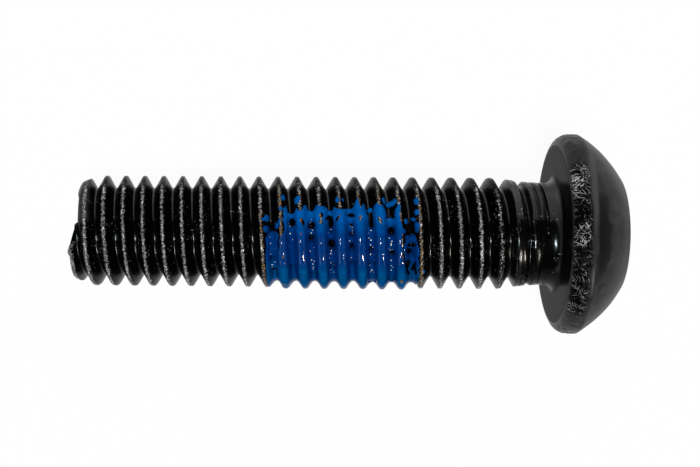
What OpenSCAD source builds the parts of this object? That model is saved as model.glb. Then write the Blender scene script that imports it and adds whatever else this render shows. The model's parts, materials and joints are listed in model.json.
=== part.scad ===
// Button-head machine screw with a blue nylon locking patch fused into its thread.
// The screw lies on its side as it comes to rest, on the head's rim and the first full crest
// at the tip. Z is up, the shank points to -X and the head to +X. The origin is on the surface
// the screw lies on, below the middle of the screw's length.

/* [Thread] */
// Nominal thread diameter
thread_d = 6; // [5.4:0.1:6.6]
// Pitch of the right-hand thread
pitch = 1; // [0.8:0.05:1.1]
// Radial clearance that a free-running thread keeps at its crest and root
thread_play = 0.09; // [0.02:0.01:0.15]
// Length from the head's bearing face to the end of the shank
shank_l = 25; // [18:0.5:40]
// Length of thread that fades out towards the neck
runout_l = 2.3; // [1.4:0.1:3]
// How far the last partial thread stands out past the rest of the rolled end
lip_l = 0.4; // [0.2:0.05:0.5]
// How much narrower the crest is at the very end than the full thread, per side
end_drop = 0.36; // [0.1:0.02:0.5]
// How deep the middle of the rolled end is hollow
end_hollow = 0.35; // [0:0.05:0.5]

/* [Neck] */
// Length of the plain neck under the head, fillet included
neck_l = 1.15; // [0.8:0.05:1.5]
// Radius of the fillet between the neck and the bearing face
neck_fillet = 0.45; // [0.25:0.05:0.6]

/* [Head] */
// Largest diameter of the head
head_d = 10.35; // [9.6:0.05:11.5]
// Height of the head
head_h = 3.25; // [2.9:0.05:3.4]
// Radius of the dome
dome_r = 6; // [5.7:0.1:7]
// Radius of the rounded edge between the bearing face and the rim
edge_r = 0.65; // [0.3:0.05:0.8]
// Height of the straight rim between the rounded edge and the dome
rim_h = 0.4; // [0.2:0.05:0.6]
// Radius that blends the dome into the flat top
top_r = 0.4; // [0.2:0.05:0.5]

/* [Socket] */
// Width of the hexagon socket across its flats
socket_w = 4; // [3.5:0.1:4.5]
// Depth of the hexagon socket
socket_depth = 2.1; // [1.6:0.05:2.3]
// How far the bevel round the socket's mouth reaches past the hexagon's corners
mouth_bevel = 0.12; // [0.05:0.01:0.2]

/* [Locking patch] */
// Length of the patch along the shank
patch_l = 7.6; // [4:0.2:10]
// Distance from the bearing face to the patch
patch_gap = 7.5; // [5:0.5:9]
// Angle that the patch wraps round the shank
patch_wrap = 200; // [120:10:300]
// Thickness of the nylon over the thread's crests
patch_film = 0.08; // [0.04:0.01:0.15]
// Extra depth of nylon that fills the thread's roots
patch_fill = 0.24; // [0.1:0.02:0.35]
// Thickness of the nylon along the patch's edge
patch_edge = 0.05; // [0.03:0.01:0.08]

/* [Hidden] */

// Smoothness of the round surfaces, and flats in one turn of the thread
$fn = 96;
seg = 36;

// Radii of the thread, the neck and the head
crest_r = thread_d / 2 - thread_play;
root_r = thread_d / 2 - 0.6134 * pitch - thread_play;
neck_r = thread_d / 2 - 0.3248 * pitch - thread_play / 6;
head_r = head_d / 2;

// Thread outline over one pitch, from root to root, as share of the pitch and radius: flanks
// that lean 30 degrees, a flat crest and a root that is slightly deeper in its middle
root_half = 0.075;
root_lift = 0.03 * pitch;
flank_w = (crest_r - root_r - root_lift) / pitch * tan(30);
crest_half = 0.5 - root_half - flank_w;
outline = [
    [0, root_r],
    [root_half, root_r + root_lift],
    [0.5 - crest_half, crest_r],
    [0.5 + crest_half, crest_r],
    [1 - root_half, root_r + root_lift],
    [1, root_r]
];
cols = len(outline) - 1;

// The rolled end: the thread starts at this angle, on the side that faces up
start_angle = 80;
lip_rise = round(seg * 0.09);
lip_hold = round(seg * 0.31);
lip_first = 0.2;
end_slope = 0.4;
end_r = crest_r - end_drop;
start_s = -shank_l + lip_l;

// The thread runs into the neck, just below the neck's surface: first its crest sinks, and
// from the middle of the run-out on the root rises
sunk = 0.02;
sunk_r = neck_r - sunk;
fade_end = -neck_l + sunk;
fade_mid = -neck_l - runout_l / 2;
crest_fade = [
    [-neck_l - runout_l, crest_r],
    [fade_mid, crest_r - 0.4 * (crest_r - sunk_r)],
    [fade_end, sunk_r]
];
root_fade = [
    [fade_mid, root_r],
    [fade_mid + runout_l / 5, root_r + 0.25 * (sunk_r - root_r)],
    [fade_end - runout_l / 12, sunk_r]
];
rows = ceil((fade_end + 0.05 - start_s + pitch) / pitch * seg);

// How far the shank tips down from the head's rim to its first full crest, and the lift that
// puts both on the surface below
foot_angle = 270;
foot_s = start_s + pitch * (0.5 - crest_half + (foot_angle - start_angle) / 360);
edge_mid_r = head_r - edge_r;
foot_run = edge_r - foot_s;
foot_rise = edge_mid_r - crest_r;
rest_tilt = atan(foot_rise / foot_run) + asin(edge_r / norm([foot_run, foot_rise]));
rest_lift = edge_r + edge_mid_r * cos(rest_tilt) - edge_r * sin(rest_tilt);

// The dome's centre on the axis, and the ring that blends the dome into the flat top
dome_s = edge_r + rim_h - sqrt(dome_r * dome_r - head_r * head_r);
top_s = head_h - top_r;
top_mid_r = sqrt(pow(dome_r - top_r, 2) - pow(top_s - dome_s, 2));
blend_s = dome_s + (top_s - dome_s) * dome_r / (dome_r - top_r);

// Middle of the screw's length as it lies
far_x = top_s * cos(rest_tilt) + top_mid_r * sin(rest_tilt) + top_r;
near_x = min([for (i = [0:seg]) let (p = thread_point(i, 0)) p.x * cos(rest_tilt) - p.z * sin(rest_tilt)]);
middle_x = (far_x + near_x) / 2;

// Distance along the axis and angle of a point on the thread, at row i and share u of the pitch
function row_angle(i) = start_angle + 360 * i / seg;
function row_s(i, u) = start_s + pitch * (i / seg + u - 1);

// The shank's end at row i: it juts out as a lip below the start and ramps back round the shank
function lip_share(i) =
    i <= lip_rise ? max(lip_first, i / lip_rise) :
    i <= lip_hold ? 1 :
    (seg - i) / (seg - lip_hold);
function end_s(i) = start_s - lip_l * lip_share(i);

// Share of the pitch for column j, with the columns cut off by the end packed beside it
function share(i, j) =
    let (u = outline[j][0])
    i >= seg ? u : max(u, (end_s(i) - row_s(i, 0)) / pitch + 0.012 * j);

// Radius of the thread: its outline, lowered at the end and faded into the neck
function thread_r(i, u) =
    let (s = row_s(i, u))
    let (height = (lookup(u, outline) - root_r) / (crest_r - root_r))
    let (low = lookup(s, root_fade))
    let (high = lookup(s, crest_fade))
    let (limit = end_r + end_slope * (s - end_s(i % seg)))
    min(low + (high - low) * height, limit);

// A point at row i and column j of the thread, raised by extra
function thread_point(i, j, extra = 0) =
    j == cols ? thread_point(i + seg, 0, extra) :
    let (u = share(i, j))
    let (r = thread_r(i, u) + extra)
    [row_s(i, u), r * cos(row_angle(i)), r * sin(row_angle(i))];

// Two triangles that close a four-sided face
function quad(a, b, c, d) = [[a, b, c], [a, c, d]];

// Place of a thread point in the list: full rows first, then one more turn of column 0
function thread_index(i, j) =
    j == cols ? thread_index(i + seg, 0) :
    i <= rows ? i * cols + j :
    (rows + 1) * cols + i - rows - 1;

// Ring on the rolled end, round its hollow
hollow_r = 0.8 * root_r;
end_middle = start_s - lip_l / 2;
function ring_point(i) =
    [(end_s(i) + end_middle) / 2, hollow_r * cos(row_angle(i)), hollow_r * sin(row_angle(i))];

// Threaded shank as one closed surface: strips along the helix, a hollow end and a flat top
// that lies inside the neck
module threaded_shank() {
    points = concat(
        [for (i = [0:rows], j = [0:cols - 1]) thread_point(i, j)],
        [for (i = [rows + 1:rows + seg]) thread_point(i, 0)],
        [for (i = [0:seg - 1]) ring_point(i)],
        [[end_middle + end_hollow, 0, 0], [row_s(rows, 0.5), 0, 0]]
    );
    top = len(points) - 1;
    tip = top - 1;
    function ring(i) = tip - seg + i % seg;
    strips = [for (i = [0:rows - 1], j = [0:cols - 1]) each quad(
        thread_index(i, j), thread_index(i, j + 1),
        thread_index(i + 1, j + 1), thread_index(i + 1, j)
    )];
    tip_faces = concat(
        [for (i = [0:seg - 1]) each quad(
            ring(i), thread_index(i, 0), thread_index(i + 1, 0), ring(i + 1)
        )],
        [for (j = [0:cols - 1]) [ring(0), thread_index(0, j + 1), thread_index(0, j)]],
        [for (i = [0:seg - 1]) [tip, ring(i), ring(i + 1)]]
    );
    top_fan = concat(
        [for (i = [rows:rows + seg - 1]) [top, thread_index(i + 1, 0), thread_index(i, 0)]],
        [for (j = [0:cols - 1]) [top, thread_index(rows, j), thread_index(rows, j + 1)]]
    );
    polyhedron(points, concat(strips, tip_faces, top_fan), convexity = 10);
}

// Half section of the head: bearing face, rounded edge, rim, dome and flat top
module head_section() {
    intersection() {
        translate([0, dome_s]) circle(dome_r);
        union() {
            square([edge_mid_r, edge_r]);
            translate([edge_mid_r, edge_r]) circle(edge_r);
            translate([0, edge_r]) square([head_r, blend_s - edge_r]);
        }
    }
    translate([0, edge_r]) square([top_mid_r, head_h - edge_r]);
    translate([top_mid_r, top_s]) circle(top_r);
}

// Half section of the neck, with the fillet that runs out into the bearing face
module neck_section() {
    sink = edge_r;
    translate([0, -neck_l]) square([neck_r, neck_l + sink]);
    difference() {
        translate([0, -neck_fillet]) square([neck_r + neck_fillet, neck_fillet + sink]);
        translate([neck_r + neck_fillet, -neck_fillet]) circle(neck_fillet);
    }
}

// Hexagon socket with a bevel round its mouth, which meets the flats in arcs, and the cone that
// its punch leaves
module socket() {
    corner_r = socket_w / 2 / cos(30);
    over = 0.5;
    bevel_r = corner_r + mouth_bevel + over;
    bevel_h = bevel_r * tan(30);
    cone_h = socket_w / 2 * tan(30) / 2;
    translate([0, 0, head_h - socket_depth]) cylinder(h = socket_depth + over, r = corner_r, $fn = 6);
    translate([0, 0, head_h + over * tan(30) - bevel_h]) cylinder(h = bevel_h, r1 = 0, r2 = bevel_r);
    translate([0, 0, head_h - socket_depth - cone_h]) cylinder(h = cone_h, r1 = 0, r2 = socket_w / 2);
}

// One piece of black steel: shank, neck and head
module screw() color("#1b1c1e") lying() {
    threaded_shank();
    rotate([0, 90, 0]) difference() {
        rotate_extrude() {
            intersection() {
                union() {
                    head_section();
                    neck_section();
                }
                translate([0, -neck_l]) square([head_r, neck_l + head_h]);
            }
        }
        socket();
    }
}

// The patch on the thread's own rows and columns: first row, rows round and last column
turn_of_patch = floor((shank_l - patch_gap - patch_l) / pitch);
first_row = seg * (turn_of_patch + 1) - 2;
wrap_rows = round(patch_wrap / 360 * seg);
last_col = round(patch_l / pitch * cols);
crest_col = 2;
ragged = rands(0, 1, last_col + 1, 11);

// First row covered in the strip after column c: lower at both ends of the patch, highest on
// the crests and ragged between them
function first_covered(c) =
    c < crest_col || c > last_col - cols + 1 ? 3 :
    c % cols == crest_col ? 0 :
    ragged[c] > 0.6 ? 2 : 1;
function covered(r, c) = c >= 0 && c < last_col && r >= first_covered(c) && r < wrap_rows;
function inside(r, c) = covered(r, c) && covered(r - 1, c) && covered(r, c - 1) && covered(r - 1, c - 1);

// Nylon over a thread point: a film on the crests that grows deeper towards the roots
function nylon(r, c) =
    let (h = (outline[c % cols][1] - root_r) / (crest_r - root_r))
    inside(r, c) ? patch_film + patch_fill * (1 - h) : patch_edge;

function patch_point(r, c, extra) = thread_point(first_row + r + seg * floor(c / cols), c % cols, extra);

// Closed shell of nylon, whose inner side is the thread's own surface
module patch_shell() {
    wide = last_col + 1;
    count = (wrap_rows + 1) * wide;
    points = concat(
        [for (r = [0:wrap_rows], c = [0:last_col]) patch_point(r, c, nylon(r, c))],
        [for (r = [0:wrap_rows], c = [0:last_col]) patch_point(r, c, 0)]
    );
    function out(r, c) = r * wide + c;
    function inn(r, c) = out(r, c) + count;
    faces = [for (r = [0:wrap_rows - 1], c = [0:last_col - 1]) if (covered(r, c)) each concat(
        quad(out(r, c), out(r, c + 1), out(r + 1, c + 1), out(r + 1, c)),
        [for (f = quad(inn(r, c), inn(r, c + 1), inn(r + 1, c + 1), inn(r + 1, c))) [f[0], f[2], f[1]]],
        covered(r - 1, c) ? [] : quad(out(r, c + 1), out(r, c), inn(r, c), inn(r, c + 1)),
        covered(r + 1, c) ? [] :
            quad(out(r + 1, c), out(r + 1, c + 1), inn(r + 1, c + 1), inn(r + 1, c)),
        covered(r, c - 1) ? [] : quad(out(r, c), out(r + 1, c), inn(r + 1, c), inn(r, c)),
        covered(r, c + 1) ? [] :
            quad(out(r + 1, c + 1), out(r, c + 1), inn(r, c + 1), inn(r + 1, c + 1))
    )];
    polyhedron(points, faces, convexity = 10);
}

module locking_patch() color("#0b4fb3") lying() patch_shell();

// Lays a shape modelled along the X axis, with its bearing face at 0, on the surface below
module lying() {
    translate([-middle_x, 0, rest_lift]) rotate([0, -rest_tilt, 0]) children();
}

screw();
locking_patch();
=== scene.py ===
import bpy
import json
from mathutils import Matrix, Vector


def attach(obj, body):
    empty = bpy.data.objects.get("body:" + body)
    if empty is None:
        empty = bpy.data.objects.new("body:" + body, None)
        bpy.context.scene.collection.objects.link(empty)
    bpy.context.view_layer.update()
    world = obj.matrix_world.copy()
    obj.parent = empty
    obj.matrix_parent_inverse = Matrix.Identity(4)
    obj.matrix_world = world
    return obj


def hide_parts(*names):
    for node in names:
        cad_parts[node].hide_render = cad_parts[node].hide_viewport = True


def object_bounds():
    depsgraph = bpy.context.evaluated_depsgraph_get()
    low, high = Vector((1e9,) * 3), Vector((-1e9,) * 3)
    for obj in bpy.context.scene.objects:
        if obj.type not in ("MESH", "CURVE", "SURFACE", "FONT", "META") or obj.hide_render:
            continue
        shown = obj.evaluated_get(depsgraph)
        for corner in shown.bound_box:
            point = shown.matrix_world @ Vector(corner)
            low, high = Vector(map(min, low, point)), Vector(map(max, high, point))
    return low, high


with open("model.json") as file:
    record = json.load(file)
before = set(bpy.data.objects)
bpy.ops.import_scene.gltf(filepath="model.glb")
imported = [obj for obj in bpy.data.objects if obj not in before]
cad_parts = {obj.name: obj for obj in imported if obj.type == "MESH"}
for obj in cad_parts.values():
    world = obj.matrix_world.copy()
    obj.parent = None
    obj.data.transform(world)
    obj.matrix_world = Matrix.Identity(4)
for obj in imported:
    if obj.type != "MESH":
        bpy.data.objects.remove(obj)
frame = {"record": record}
cad_box = [list(corner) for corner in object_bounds()]

import json
import math

import bmesh
import bpy
import numpy as np
from mathutils import Matrix, Vector

# Lengths are in millimetres in the screw's own frame until lay() turns them into metres in the
# CAD's frame. The floor, the lamps and the camera's clipping are in metres.
# S runs along the axis from the bearing face towards the head, and angles are in degrees round
# the axis: 0 points to +Y, 90 to the side that faces up.
MM = 0.001
bearing = frame["record"]["mounts"][0]
CENTRE = np.array(bearing["pos_m"])
ALONG = -np.array(bearing["axis"])
ASIDE = np.array([0.0, 1.0, 0.0])
ABOVE = np.cross(ALONG, ASIDE)

# Thread: radii, the angle and place where it starts, and the place of a crest at angle 0
PITCH = 1.0
CREST_R, PITCH_R, ROOT_R = 2.91, 2.66, 2.275
ROOT_ROUND = 0.085
FLANK = math.tan(math.radians(60))
START_ANGLE, START_S = 80.0, -24.6
CREST_S = START_S + PITCH * (0.5 - START_ANGLE / 360)
# How softly a crest's shoulders turn, how far wear sinks and roughens it, and the half width and
# the depth, by S, of the seam that rolling leaves on it
SHOULDER, WORN_CREST, ROUGH_CREST = 0.06, 0.006, 0.006
SEAM_W = 0.04
SEAM_DEPTH = ((-25, 0.0), (-9, 0.004), (-5, 0.012), (-1.5, 0.02))
# How the crest sinks and the root rises towards the neck: S and radius
CREST_FADE = ((-3.6, 2.91), (-3.33, 2.905), (-2.82, 2.89), (-2.33, 2.81), (-1.82, 2.745),
              (-1.33, 2.70), (-1.0, 2.67), (-0.62, 2.66))
ROOT_FADE = ((-2.6, 2.275), (-2.32, 2.30), (-1.83, 2.38), (-1.55, 2.5), (-1.3, 2.62),
             (-1.05, 2.632), (-0.62, 2.66))
# How rough the last turn is that fades into the neck
NECK_ROUGH = 0.012
# The rolled end: how far the lip juts out, with which share of that it starts, up to which shares
# of a turn it rises and holds, and the cone that cuts the first crests
LIP_L, LIP_FIRST, LIP_RISE, LIP_HOLD = 0.32, 0.2, 0.09, 0.31
END_R, END_SLOPE, END_LUMPS = 2.55, 0.4, 0.035
# The burr on the lip: its angle, how far it juts out and stands up, its half widths in degrees
# and its reach along the thread
BURR_AT, BURR_L, BURR_H = 110, 0.06, 0.2
BURR_TIP_W, BURR_FOOT_W, BURR_REACH = 6, 8, 0.26
# How far the end is worn back before the lip, and over which shares of a turn this sets in
WORN_L, WORN_FROM, WORN_TO = 0.12, 0.868, 0.91
# The hollow in the end face: its depth, and the share of it that is missing in the middle
HOLLOW_L, HOLLOW_MIDDLE = 0.5, 0.3
# Mesh of the thread: rows in a turn, and columns over one pitch from root to root
TURN_ROWS = 144
COLUMNS = (0, 0.035, 0.065, 0.11, 0.2, 0.3, 0.37, 0.41, 0.45, 0.5, 0.55, 0.59, 0.63, 0.7, 0.8,
           0.89, 0.935, 0.965, 1.0)
# Share of a pitch that is left between two columns where the rolled end presses them together
PACKED = 0.004
# The helical strip ends on a whole row, where a level ring can join it
STRIP_ROWS = 3453
NECK_S = START_S + PITCH * STRIP_ROWS / TURN_ROWS

# Head: its sizes, the middle of the dome's sphere, the fillet and the socket
HEAD_R, EDGE_R, RIM_H, HEAD_H, DOME_R, TOP_R = 5.175, 0.65, 0.4, 3.249, 6.0, 0.4
DOME_S = EDGE_R + RIM_H - math.sqrt(DOME_R ** 2 - HEAD_R ** 2)
FILLET_R, FILLET_L = 3.10, 0.58
SOCKET_W, SOCKET_DEPTH, MOUTH = 4.0, 2.1, 0.12
# The head has twice the thread's rows, and they double between these radii of the bearing face
HEAD_ROWS = 2 * TURN_ROWS
WIDEN_FROM, WIDEN_TO = 3.2, 3.4
# Depth of the knocks on the rim, and how far the dome's soft flats sink and wave
KNOCK_DEPTH, DOME_SUNK, DOME_WAVES = 0.035, 0.012, 0.008
# The dome's painted dark reflection, a crescent: S of its middle, half height and half width; S of
# its painted pale reflection, a strip
DARK_REFLECTION_S, DARK_REFLECTION_H, DARK_REFLECTION_W = 1.55, 0.38, 2.45
PALE_S = 1.05

# Camera in the screw's own frame, found by fitting it to the crests and the head's outline
CAMERA_AT = np.array([-12.918, 2.671, 63.986])
CAMERA_RIGHT = np.array([0.998789, 0.005686, -0.048877])
CAMERA_UP = np.array([-0.007789, 0.999047, -0.042949])
LENS, SENSOR, SHIFT = 62.583, 36.0, 0.15
PICTURE_W, PICTURE_H = 700, 467
# What one point of the picture measures on the screw
PIXEL = 1 / 19.3


def smooth(x, low, high):
    """0 below low, 1 above high and a smooth step between; low may be the larger one."""
    t = np.clip((x - low) / (high - low), 0, 1)
    return t * t * (3 - 2 * t)


def soft_min(a, b, width):
    """The smaller of a and b, with a soft passage where they differ by less than the width."""
    blend = np.clip(width - np.abs(a - b), 0, None) / width
    return np.minimum(a, b) - blend * blend * width / 4


def soft_max(a, b, width):
    """The larger of a and b, with the same soft passage."""
    return -soft_min(-a, -b, width)


def noise(x, y, seed, wrap=None):
    """Smooth noise from -1 to 1 with cells of size 1. It repeats after wrap cells of y."""
    table = np.random.default_rng(seed).uniform(-1, 1, (64, 64))
    x0, y0 = np.floor(x).astype(int), np.floor(y).astype(int)
    fx, fy = x - x0, y - y0
    fx, fy = fx * fx * (3 - 2 * fx), fy * fy * (3 - 2 * fy)
    wrap = wrap or 64

    def at(i, j):
        return table[(x0 + i) % 64, ((y0 + j) % wrap) % 64]

    low = at(0, 0) * (1 - fx) + at(1, 0) * fx
    high = at(0, 1) * (1 - fx) + at(1, 1) * fx
    return low * (1 - fy) + high * fy


def round_noise(s, angle, cell_s, cells, seed):
    """Noise on the shank: cell_s long, with so many cells round a turn."""
    return noise(s / cell_s, angle / 360 * cells, seed, cells)


def local(s, angle, r):
    """Points in the screw's own frame."""
    a = np.radians(angle)
    return np.stack(np.broadcast_arrays(s, r * np.cos(a), r * np.sin(a)), axis=-1)


def lay(points):
    """Metres in the CAD frame for points in the screw's own frame."""
    points = points.reshape(-1, 3) * MM
    return CENTRE + points[:, 0:1] * ALONG + points[:, 1:2] * ASIDE + points[:, 2:3] * ABOVE


def linked(name, data):
    """A new object with this data, linked to the scene."""
    made = bpy.data.objects.new(name, data)
    bpy.context.scene.collection.objects.link(made)
    return made


# The steel's shape

def from_crest(s, angle):
    """Signed distance along the axis from the nearest crest."""
    share = ((s - CREST_S) / PITCH - angle / 360) % 1
    return PITCH * np.where(share > 0.5, share - 1, share)


def end_s(angle):
    """Where the rolled end's surface lies."""
    turn = ((angle - START_ANGLE) / 360) % 1
    share = np.where(turn < LIP_RISE, np.maximum(LIP_FIRST, turn / LIP_RISE),
                     np.where(turn < LIP_HOLD, 1, (1 - turn) / (1 - LIP_HOLD)))
    burr = BURR_L * np.exp(-((turn * 360 - BURR_AT + START_ANGLE) / BURR_TIP_W) ** 2)
    return START_S - LIP_L * share - burr + WORN_L * smooth(turn, WORN_FROM, WORN_TO)


def rolled_radius(s, off):
    """Radius of the thread as it was rolled: a round root, straight flanks and a fading crest."""
    root = np.interp(s, *zip(*ROOT_FADE))
    crest = np.interp(s, *zip(*CREST_FADE))
    x = PITCH / 2 - np.abs(off)
    flat = ROOT_ROUND * math.cos(math.radians(30))
    arc = ROOT_ROUND - np.sqrt(ROOT_ROUND ** 2 - np.minimum(x, flat) ** 2)
    return soft_min(root + arc + np.maximum(0, x - flat) * FLANK, crest, SHOULDER)


def end_radius(s, angle):
    """Radius of the lumpy cone that cuts the first crests, with the burr on it."""
    lumps = round_noise(s, angle, 0.3, 30, 3) + 0.5 * round_noise(s, angle, 0.15, 70, 4)
    lumps = lumps + 0.6 * round_noise(s, angle, 0.09, 110, 6)
    from_end = s - end_s(angle)
    burr_off = (angle % 360 - BURR_AT) / BURR_FOOT_W
    burr = BURR_H * np.exp(-burr_off ** 2 - (from_end / BURR_REACH) ** 2)
    return END_R + END_SLOPE * from_end + END_LUMPS * lumps + burr


def thread_radius(s, angle):
    """Radius of the bare thread, with its rough crests, its fading end and its rolled end."""
    off = from_crest(s, angle)
    on_crest = smooth(np.abs(off), 0.2, 0.08)
    rough = round_noise(s, angle, 0.13, 144, 1) + 0.6 * round_noise(s, angle, 0.07, 40, 2)
    seam = np.interp(s, *zip(*SEAM_DEPTH)) * np.exp(-(off / SEAM_W) ** 2)
    r = rolled_radius(s, off) - on_crest * (WORN_CREST + ROUGH_CREST * rough) - seam
    dying = smooth(s, -1.8, -1.6) * smooth(s, -1.15, -1.3)
    r = r - NECK_ROUGH * dying * (1 + round_noise(s, angle, 0.11, 130, 7))
    return soft_min(r, end_radius(s, angle), SHOULDER)


def grid_faces(rows, columns):
    """Faces of a grid of rows by columns of points."""
    i, j = np.meshgrid(np.arange(rows - 1), np.arange(columns - 1), indexing="ij")
    a = (i * columns + j).ravel()
    return np.stack([a, a + 1, a + columns + 1, a + columns], axis=1)


def thread_grid():
    """The helical strip from the rolled end to the neck, one row per step round the axis."""
    i = np.arange(STRIP_ROWS + 1)[:, None]
    u = np.array(COLUMNS)[None, :]
    angle = START_ANGLE + 360 * i / TURN_ROWS + 0 * u
    first = START_S + PITCH * (i / TURN_ROWS - 1)
    # In the first turn the columns that lie beyond the end's surface are pressed together on it.
    packed = (end_s(angle) - first) / PITCH + PACKED * np.arange(u.shape[1])
    share = np.where((i < TURN_ROWS) & (u < 1), np.clip(packed, u, 1), u)
    return first + PITCH * share, angle


def seam_fan():
    """The triangles at the rolled end between the strip's first row and the row one turn on."""
    s, angle = thread_grid()
    last = TURN_ROWS - 1
    s, angle = np.append(s[0], s[last, 0]), np.append(angle[0], angle[last, 0])
    tip = len(s) - 1
    return s, angle, np.array([(k, k + 1, tip) for k in range(tip - 1)])


def neck_grid():
    """From the thread's last turn to a level ring below the fillet."""
    i = np.arange(STRIP_ROWS, STRIP_ROWS + TURN_ROWS + 1)[:, None]
    u = np.array(COLUMNS)[None, :]
    low = START_S + PITCH * (i / TURN_ROWS - 1)
    angle = START_ANGLE + 360 * i / TURN_ROWS + 0 * u
    return low + (NECK_S - low) * u, angle


def tip_grid():
    """The end face: rings from the thread's first turn to the middle, slightly hollow."""
    keep = np.array([1.0, 0.93, 0.84, 0.72, 0.55, 0.36, 0.17, 0.0])[None, :]
    i = np.arange(TURN_ROWS + 1)[:, None]
    angle = START_ANGLE + 360 * i / TURN_ROWS + 0 * keep
    s = end_s(angle)
    r = thread_radius(s, angle) * keep
    deep = HOLLOW_L * smooth(keep, 1.0, 0.1) * (1 - HOLLOW_MIDDLE * smooth(keep, 0.4, 0.0))
    lumps = 0.05 * round_noise(r, angle, 0.4, 24, 5) * smooth(keep, 1.0, 0.8) * smooth(keep, 0, 0.3)
    level = START_S - 0.1
    s = s + (level - s) * smooth(keep, 0.98, 0.3) + deep + lumps
    # The last row closes the ring on the first.
    s[-1], r[-1] = s[0], r[0]
    return s, angle, r


def head_profile():
    """Rings of the head from the bearing face to the socket's mouth: S and radius."""
    edge_mid = HEAD_R - EDGE_R
    top_s = HEAD_H - TOP_R
    top_mid = math.sqrt((DOME_R - TOP_R) ** 2 - (top_s - DOME_S) ** 2)
    rings = [(0.0, r) for r in np.linspace(WIDEN_TO, edge_mid, 6)]
    turn = np.radians(np.linspace(6, 90, 14))
    rings += [(EDGE_R - EDGE_R * math.cos(t), edge_mid + EDGE_R * math.sin(t)) for t in turn]
    rings += [(EDGE_R + RIM_H * t, HEAD_R) for t in (0.2, 0.4, 0.6, 0.8)]
    low = math.acos((EDGE_R + RIM_H - DOME_S) / DOME_R)
    high = math.acos((top_s - DOME_S) / (DOME_R - TOP_R))
    turn = np.linspace(low, high, 26)
    rings += [(DOME_S + DOME_R * math.cos(t), DOME_R * math.sin(t)) for t in turn]
    turn = np.linspace(high, 0, 6)[1:]
    rings += [(top_s + TOP_R * math.cos(t), top_mid + TOP_R * math.sin(t)) for t in turn]
    mouth = SOCKET_W / 2 / math.cos(math.radians(30)) + MOUTH
    return rings + [(HEAD_H, (top_mid + mouth) / 2), (HEAD_H, mouth)], mouth


def socket_columns(angle, mouth):
    """The socket from its bevelled mouth to its conical bottom: columns of S and of radius."""
    flats = (angle + 30) % 60 - 30
    hexagon = SOCKET_W / 2 / np.cos(np.radians(flats))
    slope = math.tan(math.radians(30))
    floor_s = HEAD_H - SOCKET_DEPTH
    edge = HEAD_H - (mouth - hexagon) * slope
    walls = [edge + (floor_s - edge) * t for t in (0.0, 0.03, 0.3, 0.65, 0.98, 1.0)]
    round_r = SOCKET_W / 2 * 0.96
    # The bottom as shares of that radius and depths below the walls
    cone = ((1.0, 0.0), (0.66, 0.2), (0.33, 0.4), (0.0, 0.58))
    s = np.hstack(walls + [floor_s - depth + 0 * hexagon for _, depth in cone])
    r = np.hstack([hexagon] * len(walls) + [round_r * t + 0 * hexagon for t, _ in cone])
    return s, r


def head_grid():
    """The head's outer surface, with its dents, and the socket."""
    rings, mouth = head_profile()
    s = np.array([p[0] for p in rings])[None, :]
    r = np.array([p[1] for p in rings])[None, :]
    angle = START_ANGLE + 180 + 360 * np.arange(HEAD_ROWS + 1)[:, None] / HEAD_ROWS + 0 * s
    s, r = dented(s + 0 * angle, r + 0 * angle, angle)
    socket_s, socket_r = socket_columns(angle[:, :1], mouth)
    s, r = np.hstack([s, socket_s]), np.hstack([r, socket_r])
    return s, r, angle[:, :1] + 0 * s


def rim_zone(s, r):
    """1 on the knocked edge between the bearing face and the dome, 0 elsewhere."""
    return smooth(s, -0.001, 0.12) * smooth(s, 1.0, 0.7) * smooth(r, 4.4, 4.7)


def painted_dark_crescent(s, r, angle):
    """1 in the painted dark reflection, a crescent on the side of the dome that faces up."""
    aside = r * np.cos(np.radians(angle)) / DARK_REFLECTION_W - 0.08
    bent = (s - DARK_REFLECTION_S + 0.18 * aside * aside) / DARK_REFLECTION_H
    ragged = 0.3 * round_noise(s, angle, 0.35, 60, 15) + 0.15 * round_noise(s, angle, 0.12, 170, 17)
    upper = smooth(np.sin(np.radians(angle)), 0, 0.3)
    return smooth(np.hypot(aside, bent) + ragged, 1.15, 0.7) * upper


def painted_pale_strip(s, angle):
    """1 in the painted pale reflection, a paler strip between the rim and the dark crescent, on the
    +Y half.
    """
    around = angle % 360
    up = np.cos(np.radians(angle)) ** 2
    ragged = 0.05 * round_noise(s, angle, 0.4, 40, 18)
    bent = (s - PALE_S - 0.15 * up + ragged) / (0.15 + 0.2 * up)
    return smooth(np.abs(bent), 1.2, 0.4) * smooth(around, 28, 45) * smooth(around, 100, 70)


def dented(s, r, angle):
    """S and radius with small knocks on the rim and soft flats on the dome, all of them inwards."""
    knocks = round_noise(s, angle, 0.16, 150, 11) + 0.7 * round_noise(s, angle, 0.09, 60, 12)
    depth = KNOCK_DEPTH * rim_zone(s, r) * np.clip(0.35 + knocks, 0, 1.5)
    soft = noise(s / 0.9 + 5, angle / 360 * 22, 13, 22) + 0.5 * round_noise(s, angle, 0.5, 40, 14)
    dome = smooth(s, 0.8, 1.4) * smooth(r, 3.0, 3.3)
    depth = depth + dome * (DOME_SUNK + DOME_WAVES * soft)
    lean = np.arctan2(np.clip(s - DOME_S, 0.01, None), r) * smooth(s, 0.9, 1.1)
    return s - depth * np.sin(lean), r - depth * np.cos(lean)


def fillet_grid():
    """The neck's last ring, the fillet and the first ring of the bearing face."""
    turn = np.radians(np.linspace(0, 90, 10))[None, :]
    s = -FILLET_L + FILLET_L * np.sin(turn)
    r = FILLET_R - (FILLET_R - PITCH_R) * np.cos(turn)
    s = np.hstack([[[NECK_S]], s, [[0.0]]])
    r = np.hstack([[[PITCH_R]], r, [[WIDEN_FROM]]])
    angle = START_ANGLE + 360 * np.arange(TURN_ROWS + 1)[:, None] / TURN_ROWS + 0 * s
    s, r = s + 0 * angle, r + 0 * angle
    r[:, 0] = thread_radius(s[:, 0], angle[:, 0])
    return s, r, angle


def level_ring(r, rows):
    """A ring of points on the bearing face."""
    return local(np.zeros(rows + 1), START_ANGLE + 360 * np.arange(rows + 1) / rows, r)


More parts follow.
